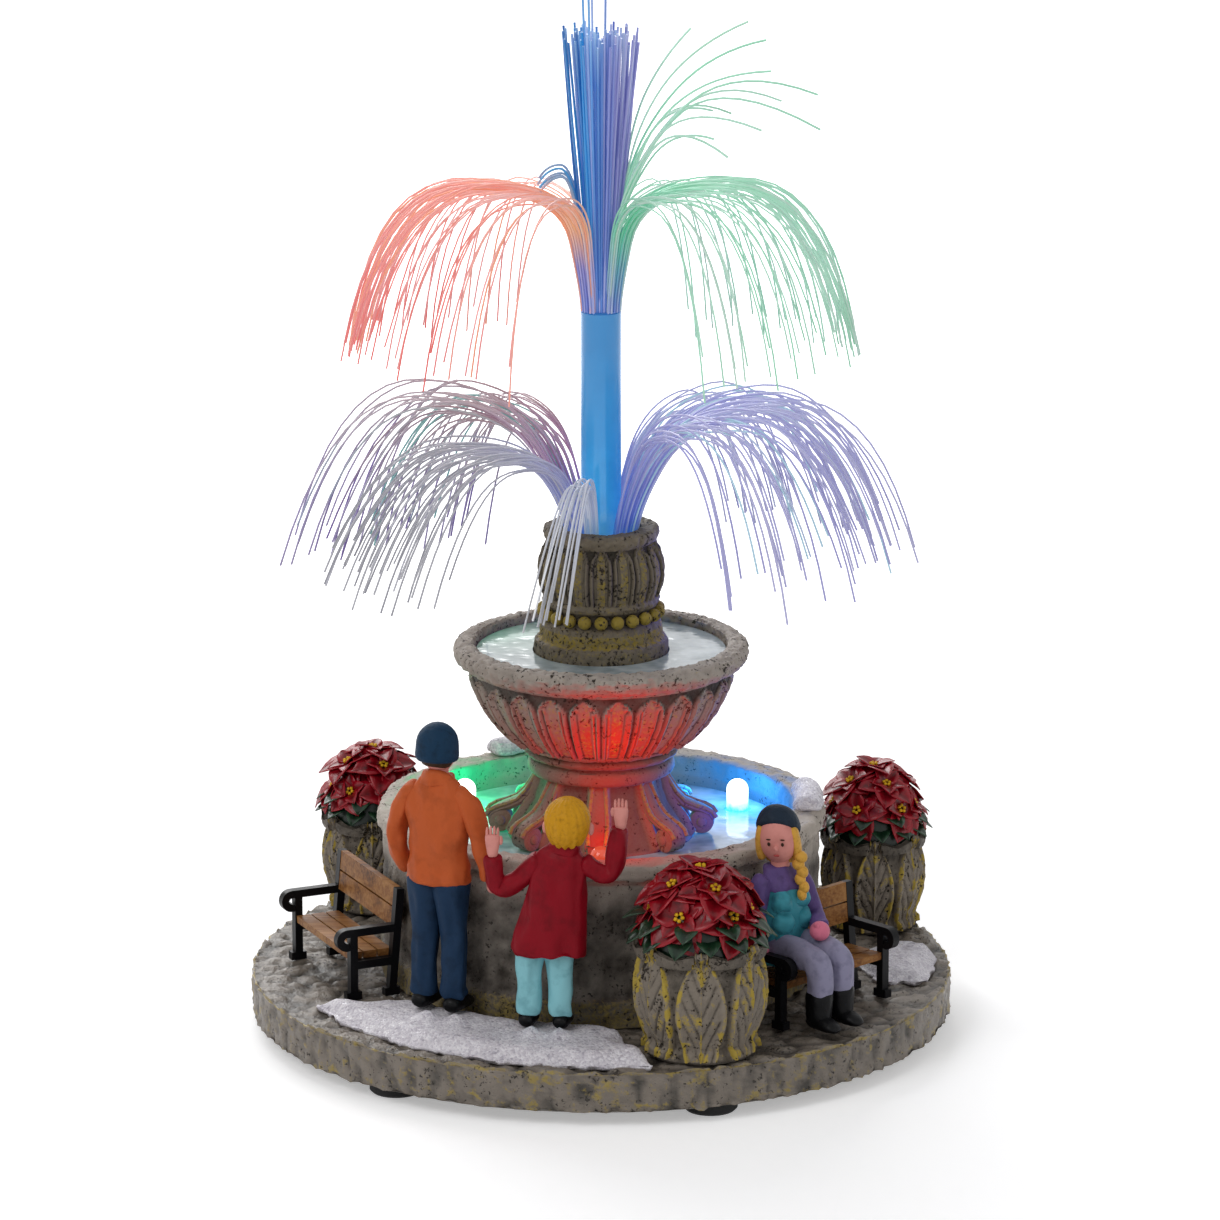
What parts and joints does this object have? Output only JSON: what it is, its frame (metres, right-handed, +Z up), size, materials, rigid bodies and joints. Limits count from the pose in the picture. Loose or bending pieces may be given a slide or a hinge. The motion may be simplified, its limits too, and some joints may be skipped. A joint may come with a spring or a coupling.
{
  "type": "fibre optic fountain lamp",
  "caption": "Battery-lit table fountain: cast pool, pedestal bowl and urn with glowing optical fibres as water jets, painted figures, benches and potted plants around it",
  "frame": {"origin": "on the table, under the middle of the round plinth", "axes": "+Z up, -Y towards the front where the standing figures are, +X to the viewer's right"},
  "size_m": [0.16, 0.16, 0.2403],
  "materials": {
    "cast_stone": "cast resin, dry brushed like old stone",
    "pale_stone": "cast resin, speckled pale stone",
    "black_rubber": "matt",
    "black_plastic": "fine spark texture",
    "knob_plastic": "satin",
    "screw_steel": "zinc plated",
    "spring_steel": "nickel plated",
    "cell_jacket": "printed film jacket, plain",
    "circuit_board": "solder mask",
    "lead_sleeve": "soft sleeve",
    "ferrule_brass": "turned",
    "fibre_blue": "clear acrylic fibre, lit blue",
    "sleeve_blue": "clear tube, lit blue",
    "fibre_red": "clear acrylic fibre, lit red",
    "fibre_green": "clear acrylic fibre, lit green",
    "fibre_lavender": "clear acrylic fibre, lit lavender",
    "led_white": "clear lens, lit",
    "led_red": "clear lens, lit",
    "led_green": "clear lens, lit",
    "led_blue": "clear lens, lit",
    "water_resin": "clear cast resin with ripples",
    "painted_resin_orange": "hand-painted resin",
    "painted_resin_crimson": "hand-painted resin",
    "painted_resin_teal": "hand-painted resin",
    "poinsettia_red": "painted resin",
    "bench_wood": "satin stain",
    "bench_iron": "semi-gloss black",
    "snow": "glitter snow paste"
  },
  "bodies": {
    "fountain": {"basin": "pale_stone", "battery_case": "black_plastic", "battery_cells": "cell_jacket", "bench_left_back": "bench_wood", "bench_left_far_frame": "bench_iron", "bench_left_near_frame": "bench_iron", "bench_left_seat": "bench_wood", "bench_right_back": "bench_wood", "bench_right_far_frame": "bench_iron", "bench_right_near_frame": "bench_iron", "bench_right_seat": "bench_wood", "board_screws": "screw_steel", "bottom_plate": "black_plastic", "bowl": "cast_stone", "bowl_water": "water_resin", "boy_figure": "painted_resin_crimson", "contact_plates": "spring_steel", "contact_springs": "spring_steel", "crown_fibres": "fibre_blue", "fibre_core": "fibre_blue", "fibre_ferrule": "ferrule_brass", "fibre_led": "led_white", "fibre_sleeve": "sleeve_blue", "girl_figure": "painted_resin_teal", "hinge_pin": "screw_steel", "leads": "lead_sleeve", "led_board": "circuit_board", "lower_front_fibres": "fibre_lavender", "lower_left_back_fibres": "fibre_lavender", "lower_left_front_fibres": "fibre_lavender", "lower_right_back_fibres": "fibre_lavender", "lower_right_front_fibres": "fibre_lavender", "man_figure": "painted_resin_orange", "pedestal": "cast_stone", "plate_screws": "screw_steel", "plinth": "cast_stone", "poinsettia_front": "poinsettia_red", "poinsettia_left": "poinsettia_red", "poinsettia_right": "poinsettia_red", "pool_led_blue": "led_blue", "pool_led_green": "led_green", "pool_led_red": "led_red", "pool_water": "water_resin", "pot_front": "cast_stone", "pot_left": "cast_stone", "pot_right": "cast_stone", "rubber_feet": "black_rubber", "snow_front": "snow", "snow_right": "snow", "snow_rim": "snow", "switch_body": "black_plastic", "upper_left_back_fibres": "fibre_red", "upper_left_front_fibres": "fibre_red", "upper_right_back_fibres": "fibre_green", "upper_right_front_fibres": "fibre_green", "urn": "cast_stone", "wisp_fibres": "fibre_green"},
    "door": {"battery_door": "black_plastic"},
    "knob": {"switch_knob": "knob_plastic"}
  },
  "joints": [
    {"name": "battery_door_hinge", "type": "hinge", "parent": "fountain", "child": "door", "pos_m": [-0.02695, 0, 0.004], "axis": [0, 1, 0], "range_deg": [0, 90]},
    {"name": "switch_slide", "type": "slide", "parent": "fountain", "child": "knob", "axis": [-1, 0, 0], "range_m": [0, 0.004]}
  ]
}
